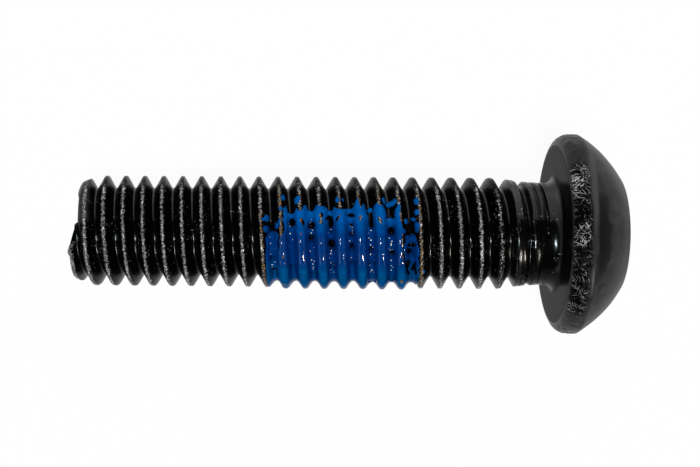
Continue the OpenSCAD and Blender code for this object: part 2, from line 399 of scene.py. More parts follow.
def widening_strip():
    """Triangles from the fillet's last ring to the head's first, which has twice the points."""
    points = np.vstack([level_ring(WIDEN_FROM, TURN_ROWS), level_ring(WIDEN_TO, HEAD_ROWS)])
    faces = []
    for i in range(TURN_ROWS):
        a, b = i, TURN_ROWS + 1 + 2 * i
        faces += [(a, b, b + 1), (a, b + 1, a + 1), (a + 1, b + 1, b + 2)]
    return points, faces


def welded(name, parts, layers):
    """One mesh object from grids of points; each part is (points, faces, {layer: values})."""
    mesh = bpy.data.meshes.new(name)
    points, faces, values = [], [], {layer: [] for layer in layers}
    count = 0
    for part_points, part_faces, part_values in parts:
        points.append(lay(part_points))
        faces += [tuple(int(k) + count for k in face) for face in part_faces]
        n = len(points[-1])
        for layer in layers:
            values[layer].append(np.broadcast_to(np.ravel(part_values.get(layer, 0.0)), n))
        count += n
    mesh.from_pydata(np.vstack(points).tolist(), [], faces)
    for layer in layers:
        made = mesh.attributes.new(layer, "FLOAT", "POINT")
        made.data.foreach_set("value", np.concatenate(values[layer]).astype(np.float32))
    work = bmesh.new()
    work.from_mesh(mesh)
    bmesh.ops.remove_doubles(work, verts=work.verts, dist=1e-7)
    bmesh.ops.dissolve_degenerate(work, edges=work.edges, dist=1e-8)
    bmesh.ops.recalc_face_normals(work, faces=work.faces)
    work.to_mesh(mesh)
    work.free()
    mesh.shade_smooth()
    return linked(name, mesh)


# The nylon patch: where it lies, in the photograph's own picture plane

def picture(points):
    """Place in the 700 x 467 picture for points in the screw's own frame."""
    forward = np.cross(CAMERA_UP, CAMERA_RIGHT)
    off = points - CAMERA_AT
    scale = LENS / SENSOR * PICTURE_W / (off @ forward)
    x = PICTURE_W / 2 - SHIFT * PICTURE_W + scale * (off @ CAMERA_RIGHT)
    y = PICTURE_H / 2 - scale * (off @ CAMERA_UP)
    return x, y


# Outlines of the nylon in the picture, in points, read off one by one. The first is the main body
# with its ragged upper edge, then the lobes on its left and right.
BODY = ((283.5, 209), (286, 206.2), (287.3, 210), (288.3, 213.5), (290.9, 214.9), (294, 213),
        (295.3, 210), (296.3, 208.5), (298, 210), (300.9, 211.5), (303, 208.5), (304.4, 205.4),
        (307, 207), (308.5, 211), (311.5, 212.5), (314.5, 210), (316.7, 205.1), (320.4, 206.4),
        (323.3, 205.7), (327, 209), (329, 212), (331.5, 212), (334.5, 206.8), (337.5, 209),
        (341.7, 209.4), (346.3, 209.7), (349.8, 210.8), (353.2, 208), (355.5, 201), (357.8, 197.6),
        (359, 203), (360.1, 208.5), (362, 206), (364.1, 203.9), (366, 210), (368, 217), (369, 226),
        (371.5, 229), (374, 226), (373, 215), (374, 206), (376.7, 202.8), (380.2, 205.5),
        (383, 205.5), (385.3, 209.7), (386.3, 214), (386.5, 219), (391, 218), (394.5, 219),
        (395, 210), (397.4, 206.2), (399.4, 202.8), (400.5, 208), (399.5, 214), (401, 222),
        (403, 228), (405.9, 229.5), (405.9, 232.5), (402.3, 233.5), (401.8, 246), (403.2, 248),
        (403.2, 253), (402.2, 255), (402.5, 258), (404, 261), (405.5, 268), (406, 275), (408, 281),
        (409.3, 290), (409.3, 330), (276, 330), (276, 252), (279, 249), (279.4, 245),
        (278.8, 241.3), (280.8, 236.7), (284.9, 230.9), (284.6, 222), (283.7, 214))
LEFT_LOBE = ((265.9, 254), (266.8, 246.5), (265.9, 238.4), (268.5, 233.5), (272, 231.2),
             (276.5, 232), (278.7, 235.5), (277.3, 240), (276.9, 244.7), (277.8, 249),
             (284, 254), (284, 330), (268, 330), (268.2, 285.5), (267.3, 279.8), (266.5, 267))
RIGHT_LOBE = ((405.6, 236.5), (407.7, 234.9), (410, 235.2), (412.3, 233.8), (415.2, 235.5),
              (416.4, 239.5), (417.4, 245), (418.6, 248.2), (419.8, 254.5), (417.4, 257.2),
              (418.6, 262.6), (419.2, 267.1), (417.8, 270), (418.5, 275), (417, 281), (414, 290),
              (414, 330), (404, 330), (406, 275), (408.9, 270.5), (407.7, 262), (405.4, 260),
              (404.9, 252.2), (404.3, 245.3), (406.4, 240))
# Drops beside the patch and holes in it: x, y, half width, half height and lean in degrees
DROPS = ((283.4, 197.6, 1.7, 2.5, -15), (297.2, 199.9, 2.6, 4, 20), (337.1, 199.9, 2, 2.7, 0),
         (342.8, 199.9, 1, 1, 0), (280.5, 208.2, 1.7, 1.7, 0), (266.8, 218.3, 2.3, 3, 0),
         (263, 219.4, 1.3, 1.5, 0), (276.5, 225.8, 1.8, 2.7, 10), (266.5, 229.2, 3, 3.2, 0),
         (281.4, 221.9, 3.1, 4, 0), (369.9, 210.5, 2.2, 1.8, 0), (383.9, 200.8, 1.3, 3.2, -20),
         (388.8, 205.1, 2.4, 1.8, 0), (392, 203.6, 2.6, 2, 35), (395, 200.9, 2.6, 1.3, 50),
         (406.3, 221.5, 1.7, 2.4, -10), (413.2, 219.4, 2.2, 1.7, 10), (416.3, 201.1, 2.7, 3, 0),
         (416.9, 212, 2.6, 2.8, 0), (417, 225.5, 2.8, 3.2, 0), (416.8, 229.5, 1.6, 3, 10),
         (424, 271.5, 1.2, .9, 0), (418.4, 275.3, 1.2, 1.6, 0))
HOLES = ((408.4, 263, 1.5, 3.4, 0), (412.6, 267.4, 1.6, 3.2, 10), (408.9, 272.6, 1.4, 2, 0),
         (415.6, 271.5, 1.1, 3.4, 0), (292.3, 222.3, 2.6, 3.6, -15), (311.5, 225.2, 2.7, 2.9, 0),
         (311.3, 237.5, 1.8, 2.3, 0), (331.6, 243.3, 2.5, 3.4, -15), (331, 222, 2.2, 5, 0),
         (327.5, 217.5, 1.2, 3, 30),
         (337.5, 218.5, 1.2, 3.4, 35), (331.1, 231.2, .8, .8, 0), (302.6, 221.7, 1.5, 3.5, -25),
         (321.3, 215.4, 1.7, 2.7, 0), (321, 221.7, 1.8, 2, 0), (300.9, 233.8, 1, 1, 0),
         (283.4, 258, 1.3, 1.3, 0), (281.8, 222.2, 1.5, 3.1, -10), (274.2, 267.7, 2, 2, 0),
         (272.2, 256, 1.2, 1.2, 0), (268.5, 248, .8, .8, 0), (292.9, 263.7, 1.4, 1, 0),
         (332.5, 262.8, 1.1, 1.4, 0), (284.3, 284.7, 1.2, .8, 0), (351.2, 215.4, 3, 1.8, 0),
         (351.5, 224.6, 1.2, 1.4, 0), (351.5, 233.2, 1.4, 1.6, 0), (360.4, 217.7, 1.5, 2, 0),
         (380.2, 220, 1.2, 3.5, -30), (391.1, 230.6, 2.7, 3.3, 0), (351.8, 245.3, 1.4, 2, 0),
         (352.3, 260, 1.2, 1, 0), (370.7, 248.2, 1.4, 1.6, 0), (372.1, 260.3, 1.2, 1, 0),
         (392, 252, 1.7, 2, -15), (391.4, 274.3, 1, .7, 0), (371.9, 278.3, 2.5, .7, 0),
         (401.7, 281.5, 1.8, 1.4, 0), (411.8, 244.8, 3.4, 1.8, -10), (408.9, 251, 2.3, 2.5, 0),
         (412, 267.8, 1.8, .8, 30), (414.9, 264, .8, 2.6, -10), (313.6, 270.3, 1.8, .6, 15))
# The nylon's edge, in points of the picture: how far it wobbles to the side and up, how softly
# the lobes and the spots join it, and how many times larger the holes are than listed
WOBBLE_X, WOBBLE_Y = 0.25, 0.35
LOBE_BLEND, SPOT_BLEND, HOLE_GROWTH = 0.8, 0.5, 1.3
# On the far side: where the patch starts and ends, from the thread's first crest, the angle of
# its edge, and the angles between which the seen edge gives way to this one
BACK_FROM, BACK_TO, BACK_EDGE = 9.2, 16.7, 262
SEEN_TO, HIDDEN_FROM = 168, 180


def inside_outline(x, y, outline):
    """Signed distance to a closed outline, positive inside."""
    near = np.full(x.shape, 1e9)
    inside = np.zeros(x.shape, bool)
    for (x0, y0), (x1, y1) in zip(outline, outline[1:] + outline[:1]):
        dx, dy = x1 - x0, y1 - y0
        t = np.clip(((x - x0) * dx + (y - y0) * dy) / (dx * dx + dy * dy), 0, 1)
        near = np.minimum(near, np.hypot(x - x0 - t * dx, y - y0 - t * dy))
        if dy:
            cut = (y0 <= y) != (y1 <= y)
            inside ^= cut & (x < x0 + (y - y0) * dx / dy)
    return np.where(inside, near, -near)


def inside_spot(x, y, spot, growth=1.0):
    """Roughly the distance to an ellipse's outline, positive inside."""
    cx, cy, w, h, lean = spot
    w, h = w * growth, h * growth
    a = math.radians(lean)
    dx, dy = x - cx, y - cy
    u, v = dx * math.cos(a) + dy * math.sin(a), dy * math.cos(a) - dx * math.sin(a)
    return (1 - np.hypot(u / w, v / h)) * min(w, h)


def seen_cover(s, angle, r):
    """How far inside the nylon a point lies on the camera's side, in points of the picture."""
    x, y = picture(local(s, angle, r))
    x = x + WOBBLE_X * round_noise(s, angle, 0.2, 90, 21)
    y = y + WOBBLE_Y * round_noise(s, angle, 0.15, 70, 22)
    inside = inside_outline(x, y, BODY)
    for outline in (LEFT_LOBE, RIGHT_LOBE):
        inside = soft_max(inside, inside_outline(x, y, outline), LOBE_BLEND)
    for spot in DROPS:
        inside = soft_max(inside, inside_spot(x, y, spot), SPOT_BLEND)
    for spot in HOLES:
        inside = soft_min(inside, -inside_spot(x, y, spot, HOLE_GROWTH), SPOT_BLEND)
    return inside


def hidden_cover(s, angle):
    """The same on the far side, where the patch ends in a ragged edge of its own."""
    off_start = s - (CREST_S + BACK_FROM + angle / 360)
    off_end = CREST_S + BACK_TO + angle / 360 - s
    ragged = 8 * round_noise(s, angle, 0.5, 7, 23) + 5 * round_noise(s, angle, 0.2, 30, 24)
    back = (BACK_EDGE + ragged - angle) * math.pi / 180 * PITCH_R
    return np.minimum(np.minimum(off_start, off_end), back) / PIXEL


def cover(s, angle, r):
    """The same all round."""
    seen, hidden = seen_cover(s, angle, r), hidden_cover(s, angle)
    return seen + (hidden - seen) * smooth(angle, SEEN_TO, HIDDEN_FROM)


# Nylon: thickness over the crests, how much more lies in the roots and how uneven it is, the
# width of its rounded edge in points of the picture, and how deep its skins lie in bare steel
FILM, FILL, UNEVEN = 0.08, 0.18, 0.008
EDGE_W = 2.6
SUNK = 0.03
# Its mesh: S and angles from where to where, the angle at which that S holds, and the steps
PATCH_FROM, PATCH_TO = -15.6, -6.6
PATCH_ANGLES, PATCH_AT = (44, 272), 160
PATCH_STEP = 1.25
PATCH_COLUMNS = 28
# Its painted shade fades over these x of the picture, at the left and right end of the main body
BODY_LEFT, BODY_RIGHT = (277, 284), (406, 402)
# How polished its crests are, by angle
POLISHED = ((90, 0), (95, 1), (104, 1), (106, 0.2), (109, 1), (119, 1), (123, 0))


def thread_depth(r):
    """0 on the thread's crests and 1 in its roots."""
    return np.clip((CREST_R - r) / (CREST_R - ROOT_R), 0, 1)


def nylon_thickness(s, angle, r):
    """Thickness of the nylon over the steel; below 0 where there is none."""
    deep = thread_depth(r)
    waves = round_noise(s, angle, 0.06, 9, 31) + 0.5 * round_noise(s, angle, 0.12, 20, 32)
    # The film is thicker on the steep flanks than on the crests, and it pools in the roots.
    film = FILM * (1 + 0.85 * smooth(deep, 0.0, 0.3))
    pooled = FILL * deep ** 3 * (0.9 + 0.2 * round_noise(s, angle, 0.5, 14, 33))
    full = film + pooled + UNEVEN * waves
    within = cover(s, angle, r)
    edge = np.clip(within / EDGE_W, 0, 1)
    rounded = np.sqrt(1 - (1 - edge) ** 2)
    return np.where(within > 0, full * rounded, -SUNK * np.clip(-within, 0, 1))


def patch_grid():
    """The columns follow the thread, so that each crest and root keeps to its own column."""
    columns = round((PATCH_TO - PATCH_FROM) / PITCH * PATCH_COLUMNS)
    angle = np.arange(PATCH_ANGLES[0], PATCH_ANGLES[1] + PATCH_STEP / 2, PATCH_STEP)[:, None]
    level = PATCH_FROM + (PATCH_TO - PATCH_FROM) * np.arange(columns + 1)[None, :] / columns
    s = level + (angle - PATCH_AT) / 360
    return s, angle + 0 * s


def patch_looks(s, angle, steel, thick, outer):
    """Where the nylon has painted shade, painted glints, gloss, or painted lighter blues higher and
    lower down.
    """
    deep = thread_depth(steel)
    # Painted shade: darker on the flanks and in the roots, where the nylon also lies thicker; none
    # on the upper part, less at the bottom and towards the body's ends.
    shade = smooth(deep, 0.25, 0.48) * (1 - 0.3 * smooth(deep, 0.8, 1.0)) * smooth(angle, 66, 96)
    shade = shade * (1 - 0.3 * smooth(angle, 136, 154))
    x = picture(outer)[0]
    shade = shade * (0.45 + 0.55 * smooth(x, *BODY_LEFT) * smooth(x, *BODY_RIGHT))
    # Painted glints: cream dots in the roots, on the side that faces up.
    painted_glints = smooth(deep, 0.75, 0.95) * smooth(round_noise(s, angle, 0.7, 14, 34), -0.5, 0.0)
    painted_glints = painted_glints * smooth(angle, 70, 80) * smooth(angle, 144, 134) * smooth(thick, 0.1, 0.2)
    spots = smooth(deep, 0.85, 0.95) * smooth(round_noise(s, angle, 1.0, 22, 35), 0.45, 0.6)
    gloss = np.maximum(smooth(deep, 0.18, 0.08), spots) * np.interp(angle, *zip(*POLISHED))
    gloss = np.maximum(gloss, 0.03 * smooth(angle, 150, 168))
    # Painted light: high and low pick lighter copies of the blue higher up and lower down.
    return {"shade": shade, "painted_glints": painted_glints, "gloss": gloss, "along": s,
            "around": np.radians(angle) * PITCH_R, "high": smooth(angle, 98, 66),
            "low": smooth(angle, 118, 134)}


def patch_parts():
    """The nylon's outer and inner skin."""
    s, angle = patch_grid()
    steel = thread_radius(s, angle)
    thick = nylon_thickness(s, angle, steel)
    rim = np.ones(s.shape, bool)
    rim[1:-1, 1:-1] = False
    thick = np.where(rim, -SUNK, thick)
    outer = local(s, angle, steel + thick)
    # Where there is no nylon both skins lie at one depth, so that they meet all round its edge.
    sunk = thick <= -SUNK * 0.999
    inner = local(s, angle, steel - np.where(sunk, SUNK, 2 * SUNK))
    quads = grid_faces(*s.shape)
    quads = quads[~sunk.ravel()[quads].all(axis=1)]
    looks = patch_looks(s, angle, steel, thick, outer)
    return [(outer, quads, looks), (inner, quads[:, ::-1], looks)]


# Materials: linear colours of the steel where it is bare, brown or scratched, of the satin head
# with its painted dark and pale reflections, and of the black thread and its roots
BARE, BROWN, SCRATCH = (0.85, 0.85, 0.84), (0.6, 0.35, 0.12), (0.8, 0.8, 0.78)
SATIN_DARK, SATIN_LIGHT = (0.006, 0.006, 0.0062), (0.029, 0.029, 0.0293)
DARK_REFLECTION, PAINTED_PALE = (0.0035, 0.0035, 0.0036), (0.05, 0.05, 0.0505)
# The roots and the neck are a slightly lighter black where they face up: a faint painted sheen
# beside their real gloss.
BLACK, BLACK_SHEEN = (0.0008, 0.0008, 0.0009), (0.0012, 0.0012, 0.0013)
# The nylon's colour facing up, its painted lighter copies lower down and higher up, its painted
# shade on the flanks, and its painted glints
NYLON, NYLON_LIT_LOW, NYLON_LIT_HIGH = (0.0, 0.031, 0.160), (0.0, 0.066, 0.21), (0.0, 0.080, 0.315)
NYLON_SHADED, GLINT_CREAM = (0.0, 0.0195, 0.123), (0.98, 0.93, 0.70)
# Refractive index of both finishes
GLOSS_IOR = 1.5
# Scratches on the rim: direction in degrees, seed, length and width in millimetres
SCRATCHES = ((25, 0.0, 0.9, 0.05), (-38, 7.0, 0.6, 0.05), (66, 13.0, 0.8, 0.045),
             (-75, 33.0, 0.3, 0.07))


def nodes_of(material):
    """The node tree of a new material and its shader."""
    material.use_nodes = True
    tree = material.node_tree
    return tree, tree.nodes["Principled BSDF"]


def add(tree, kind, **values):
    """A new node; a value goes to the setting with its name or else to the input."""
    node = tree.nodes.new("ShaderNode" + kind)
    for key, value in values.items():
        if hasattr(node, key):
            setattr(node, key, value)
        else:
            node.inputs[key.replace("_", " ")].default_value = value
    return node


def noise_at(tree, where, scale, detail=2.0, rough=0.5):
    """Noise at a place, with cells of 1 / scale of its unit."""
    node = add(tree, "TexNoise", Scale=scale, Detail=detail, Roughness=rough)
    tree.links.new(where, node.inputs["Vector"])
    return node


def fine_noise(tree, scale, detail, rough):
    """Noise in the object's own metres, so that a scale of 1000 makes cells of 1 mm."""
    where = add(tree, "TexCoord").outputs["Object"]
    return noise_at(tree, where, scale, detail, rough).outputs["Fac"]


def ramp(tree, source, low, high, out_low=0.0, out_high=1.0):
    """Turns the range from low to high into the one from out_low to out_high, and clamps it."""
    node = add(tree, "MapRange")
    node.inputs["From Min"].default_value = low
    node.inputs["From Max"].default_value = high
    node.inputs["To Min"].default_value = out_low
    node.inputs["To Max"].default_value = out_high
    tree.links.new(source, node.inputs["Value"])
    return node.outputs["Result"]


def times(tree, a, b):
    """The product of a socket and a number or another socket."""
    node = add(tree, "Math", operation="MULTIPLY")
    tree.links.new(a, node.inputs[0])
    if isinstance(b, (int, float)):
        node.inputs[1].default_value = b
    else:
        tree.links.new(b, node.inputs[1])
    return node.outputs[0]


def mixed(tree, factor, a, b):
    """Colour a where factor is 0 and b where it is 1; each is a colour or a socket."""
    node = add(tree, "Mix", data_type="RGBA")
    tree.links.new(factor, node.inputs[0])
    for socket, value in ((node.inputs[6], a), (node.inputs[7], b)):
        if isinstance(value, tuple):
            socket.default_value = (*value, 1.0)
        else:
            tree.links.new(value, socket)
    return node.outputs[2]


def attribute(tree, name):
    """A layer of values that the mesh carries."""
    node = add(tree, "Attribute")
    node.attribute_name = name
    return node.outputs["Fac"]


def joined(tree, operation, a, b):
    """Two sockets put together by one operation of a math node."""
    node = add(tree, "Math", operation=operation)
    tree.links.new(a, node.inputs[0])
    tree.links.new(b, node.inputs[1])
    return node.outputs[0]


def largest(tree, a, b):
    """The larger of two sockets."""
    return joined(tree, "MAXIMUM", a, b)


def unrolled(tree):
    """Place on the unrolled surface, in millimetres along the screw and around it."""
    flat = add(tree, "CombineXYZ")
    tree.links.new(attribute(tree, "along"), flat.inputs["X"])
    tree.links.new(attribute(tree, "around"), flat.inputs["Y"])
    return flat.outputs["Vector"]


def streaks(tree, where, turn, seed, long, wide):
    """Short thin scratches in one direction on the unrolled rim of the head."""
    mapping = add(tree, "Mapping", vector_type="TEXTURE")
    mapping.inputs["Location"].default_value = (seed, 0, seed)
    mapping.inputs["Rotation"].default_value = (0, 0, math.radians(turn))
    mapping.inputs["Scale"].default_value = (long, wide, 1.0)
    tree.links.new(where, mapping.inputs["Vector"])
    node = noise_at(tree, mapping.outputs["Vector"], 1.0, 1.0, 0.4)
    return ramp(tree, node.outputs["Fac"], 0.66, 0.74)


def bent_place(tree, flat):
    """The place moved a little from spot to spot, so that scratches bend."""
    where = add(tree, "VectorMath", operation="MULTIPLY_ADD")
    tree.links.new(noise_at(tree, flat, 1.6, 1.0).outputs["Color"], where.inputs[0])
    where.inputs[1].default_value = (0.08, 0.08, 0.0)
    tree.links.new(flat, where.inputs[2])
    return where.outputs["Vector"]


def rim_scratches(tree):
    """Scratches that cross in all directions and bend a little, with knocks between them."""
    flat = unrolled(tree)
    where = bent_place(tree, flat)
    lines = streaks(tree, where, *SCRATCHES[0])
    for scratch in SCRATCHES[1:]:
        lines = largest(tree, lines, streaks(tree, where, *scratch))
    patches = noise_at(tree, flat, 1.3).outputs["Fac"]
    lines = times(tree, lines, ramp(tree, patches, 0.42, 0.56, 0.45, 1.0))
    knocks = ramp(tree, noise_at(tree, flat, 14.0).outputs["Fac"], 0.58, 0.68)
    knocks = times(tree, knocks, ramp(tree, patches, 0.42, 0.55))
    return largest(tree, lines, times(tree, knocks, 0.8))


def worn_crests(tree, crest):
    """The worn line on the crests: its edges are ragged, and it is broken by pits."""
    ragged = ramp(tree, fine_noise(tree, 10000, 3, 0.7), 0.3, 0.7, -0.5, 0.5)
    line = ramp(tree, joined(tree, "ADD", crest, ragged), 0.64, 0.94)
    flecks = ramp(tree, fine_noise(tree, 13000, 2, 0.6), 0.50, 0.64)
    flecks = times(tree, flecks, ramp(tree, fine_noise(tree, 2200, 1, 0.5), 0.35, 0.65, 0.45, 1.0))
    return times(tree, line, ramp(tree, flecks, 0, 1, 0.11, 1.0))


def pale_dust(tree, head, dull):
    """Sparse specks on the thread, none of them on the head or where the steel is dull."""
    sparse = ramp(tree, fine_noise(tree, 1300, 2, 0.5), 0.52, 0.62)
    specks = ramp(tree, fine_noise(tree, 9500, 0, 0.5), 0.73, 0.78)
    dust = times(tree, times(tree, specks, sparse), 0.2)
    return times(tree, dust, ramp(tree, largest(tree, head, dull), 0, 1, 1, 0))


def satin_colour(tree, dark_reflection, pale):
    """The head's satin grey, blotched, with its painted dark reflection and its painted pale
    reflection.
    """
    blotches = ramp(tree, fine_noise(tree, 750, 6, 0.78), 0.36, 0.64)
    satin = mixed(tree, blotches, SATIN_DARK, SATIN_LIGHT)
    return mixed(tree, pale, mixed(tree, dark_reflection, satin, DARK_REFLECTION), PAINTED_PALE)


def steel_gloss(tree, head, root, bands, dull):
    """Strength of the mirroring, weaker in the grooves that follow the thread's last turns."""
    grooves = add(tree, "TexNoise", noise_dimensions="1D", Scale=9.0, Detail=1.0)
    tree.links.new(attribute(tree, "along"), grooves.inputs["W"])
    dark = largest(tree, times(tree, bands, ramp(tree, grooves.outputs[0], 0.56, 0.44)), dull)
    gloss = largest(tree, ramp(tree, head, 0, 1, 0.025, 0.08), times(tree, root, 0.6))
    return times(tree, gloss, ramp(tree, dark, 0, 1, 1, 0.16))


def steel_normal(tree, crest, scratched):
    """A fine unevenness all over, and a coarser grain on the crests and scratches."""
    fine = add(tree, "Bump", Strength=0.5, Distance=0.00001)
    tree.links.new(fine_noise(tree, 4000, 3, 0.6), fine.inputs["Height"])
    grain = add(tree, "Bump", Distance=0.00004)
    coarse = largest(tree, ramp(tree, crest, 0.2, 0.7), scratched)
    tree.links.new(times(tree, coarse, 0.8), grain.inputs["Strength"])
    tree.links.new(fine_noise(tree, 9500, 2, 0.7), grain.inputs["Height"])
    tree.links.new(fine.outputs["Normal"], grain.inputs["Normal"])
    return grain.outputs["Normal"]


def black_steel():
    """Black oxide over steel, worn to grey on the crests and scratched on the head's rim."""
    material = bpy.data.materials.new("black_oxide_steel")
    tree, shader = nodes_of(material)
    shader.inputs["IOR"].default_value = GLOSS_IOR
    names = ("crest", "rim", "tan", "head", "dark_reflection", "root", "pale", "bands", "dull")
    crest, rim, tan, head, dark_reflection, root, pale, bands, dull = (attribute(tree, n) for n in names)
    worn = largest(tree, worn_crests(tree, crest), pale_dust(tree, head, dull))
    brown = times(tree, tan, ramp(tree, fine_noise(tree, 6000, 1, 0.5), 0.45, 0.55))
    scratched = ramp(tree, times(tree, rim, rim_scratches(tree)), 0.05, 0.65)
    grey = mixed(tree, scratched, mixed(tree, brown, BARE, BROWN), SCRATCH)
    worn = largest(tree, worn, scratched)
    black = mixed(tree, root, BLACK, BLACK_SHEEN)
    black = mixed(tree, head, black, satin_colour(tree, dark_reflection, pale))
    tree.links.new(mixed(tree, worn, black, grey), shader.inputs["Base Color"])
    tree.links.new(times(tree, worn, 0.5), shader.inputs["Metallic"])
    rough = largest(tree, ramp(tree, root, 0, 1, 0.24, 0.16), ramp(tree, worn, 0, 1, 0.0, 0.34))
    rough = largest(tree, rough, times(tree, head, 0.38))
    tree.links.new(rough, shader.inputs["Roughness"])
    gloss = steel_gloss(tree, head, root, bands, dull)
    tree.links.new(gloss, shader.inputs["Specular IOR Level"])
    tree.links.new(steel_normal(tree, crest, scratched), shader.inputs["Normal"])
    return material


def clouded(tree, cloud, colour):
    """The colour, a fifth darker or lighter from place to place."""
    return mixed(tree, cloud, tuple(0.8 * c for c in colour), tuple(1.2 * c for c in colour))


def painted_glint_dots(tree):
    """Painted glints: cream dots in the roots, in some of the cells of a flat pattern."""
    cells = add(tree, "TexVoronoi", voronoi_dimensions="2D", feature="F1", Scale=5.5)
    tree.links.new(unrolled(tree), cells.inputs["Vector"])
    some = ramp(tree, cells.outputs["Color"], 0.45, 0.47)
    dots = times(tree, ramp(tree, cells.outputs["Distance"], 0.17, 0.11), some)
    return times(tree, dots, attribute(tree, "painted_glints"))


def blue_nylon():
    """Fused nylon: blue, with painted shade on the flanks, painted glints in the roots and a soft
    gloss.
    """
    material = bpy.data.materials.new("fused_blue_nylon")
    tree, shader = nodes_of(material)
    shader.inputs["IOR"].default_value = GLOSS_IOR
    shader.inputs["Roughness"].default_value = 0.055
    gloss = ramp(tree, attribute(tree, "gloss"), 0, 1, 0.0, 0.6)
    tree.links.new(gloss, shader.inputs["Specular IOR Level"])
    cloud = ramp(tree, fine_noise(tree, 3500, 4, 0.65), 0.33, 0.67)
    blue = clouded(tree, cloud, NYLON)
    # Painted light: lighter copies of the blue lower down and higher up.
    blue = mixed(tree, attribute(tree, "low"), blue, clouded(tree, cloud, NYLON_LIT_LOW))
    blue = mixed(tree, attribute(tree, "high"), blue, clouded(tree, cloud, NYLON_LIT_HIGH))
    blue = mixed(tree, attribute(tree, "shade"), blue, NYLON_SHADED)
    tree.links.new(mixed(tree, painted_glint_dots(tree), blue, GLINT_CREAM), shader.inputs["Base Color"])
    bump = add(tree, "Bump", Strength=0.25, Distance=0.00001)
    tree.links.new(fine_noise(tree, 4500, 3, 0.6), bump.inputs["Height"])
    tree.links.new(bump.outputs["Normal"], shader.inputs["Normal"])
    return material


# Pieces
STEEL_LAYERS = ("crest", "rim", "tan", "root", "bands", "dull", "head", "dark_reflection", "pale", "along",
                "around")
NYLON_LAYERS = ("shade", "painted_glints", "gloss", "high", "low", "along", "around")
# How satin the bearing face is, next to the dome with 1, and how worn the rolled end is
BEARING_SATIN = 0.06
END_WORN = 0.6
# S that only the thread's own grid reaches; the neck's has no nylon near it
THREAD_ONLY = -20


def hollow_side(angle):
    """1 round the part of the rolled end that curls out and stays smooth and dark."""
    around = angle % 360
    return smooth(around, 74, 84) * smooth(around, 165, 140)


def facing_up(angle):
    """1 on the side that faces up, and less on both sides of it, which weakens the mirroring and
    the roots' faint painted sheen there.
    """
    around = angle % 360
    fewer_glints = 1 - 0.65 * smooth(around, 105, 110) * smooth(around, 127, 121)
    return fewer_glints * (1 - 0.92 * smooth(around, 118, 134)) * (1 - 0.8 * smooth(around, 48, 24))


def nylon_around(s, angle, r):
    """1 close to the nylon, and 1 under the main body of it."""
    if s[0, 0] > THREAD_ONLY:
        return np.zeros(s.shape), np.zeros(s.shape)
    x, y = picture(local(s, angle, r))
    near = smooth(seen_cover(s, angle, r), -9, -2)
    return near, smooth(inside_outline(x, y, BODY), -1.5, 0)


def thread_looks(s, angle, r):
    """Where the thread is worn, glossy, brown beside the nylon or grooved."""
    off = np.abs(from_crest(s, angle))
    from_end = s - end_s(angle)
    wide = np.interp(s, (-24.5, -22, -8, -3.6, -2.9), (0.19, 0.155, 0.155, 0.17, 0.24))
    crest = np.clip(1 - off / wide, 0, 1) ** 0.7 * (1 - 0.25 * smooth(s, -4, -3))
    crest = crest * smooth(s, -2.3, -2.6)
    crest = crest * (0.4 + 0.6 * smooth(angle % 360, 20, 42))
    cone = smooth(from_end, 0.75, 0.35) * (1 - hollow_side(angle))
    lip = 0.9 * smooth(from_end, 0.32, 0.16) * smooth(angle % 360, 97, 104)
    near, under = nylon_around(s, angle, r)
    sheen = np.maximum(smooth(off, 0.42, 0.47) * (1 - under), smooth(s, -2.75, -2.45))
    dull = smooth(np.abs(s + 0.86), 0.13, 0.08) * smooth(angle % 360, 86, 70)
    return {"crest": np.maximum(crest, np.maximum(0.35 * cone, lip)), "head": 0.9 * cone,
            "tan": near * smooth(angle % 360, 20, 40), "root": sheen * facing_up(angle),
            "bands": smooth(s, -2.0, -1.8) * smooth(s, -0.95, -1.1), "dull": dull,
            "along": s / PITCH - angle / 360}


def fillet_looks(s, angle):
    """The fillet mirrors on the side that faces up and turns dull towards the bearing face."""
    return {"head": BEARING_SATIN * smooth(s, -0.3, -0.05), "dull": smooth(s, -0.15, 0),
            "root": 0.9 * facing_up(angle) * (1 - smooth(s, -0.2, -0.02))}


def head_looks(s, r, angle):
    """Where the head is satin or scratched, and where its painted dark and pale reflections lie."""
    around = angle % 360
    # Painted pale reflection on the dome's +Y half
    pale = painted_pale_strip(s, angle)
    # On the rim's upward side the satin gives way to black, a painted dark reflection; the
    # scratches in it are real wear.
    painted_dark_rim = rim_zone(s, r) * smooth(around, 40, 50) * smooth(around, 143, 133) * (1 - pale)
    crowded = np.interp(around, (62, 76, 97, 106), (1.0, 0.6, 0.52, 0.62))
    crowded = crowded * (0.5 + 0.5 * smooth(round_noise(s, angle, 0.45, 24, 16), -0.3, 0.4))
    under = smooth(s, 0.03, 0.0)
    return {"rim": painted_dark_rim * crowded, "head": (1 - 0.95 * painted_dark_rim) * (1 - (1 - BEARING_SATIN) * under),
            "dark_reflection": painted_dark_crescent(s, r, angle), "pale": pale, "along": s,
            "around": np.radians(angle) * HEAD_R, "dull": np.maximum(under, 0.8 * painted_dark_rim)}


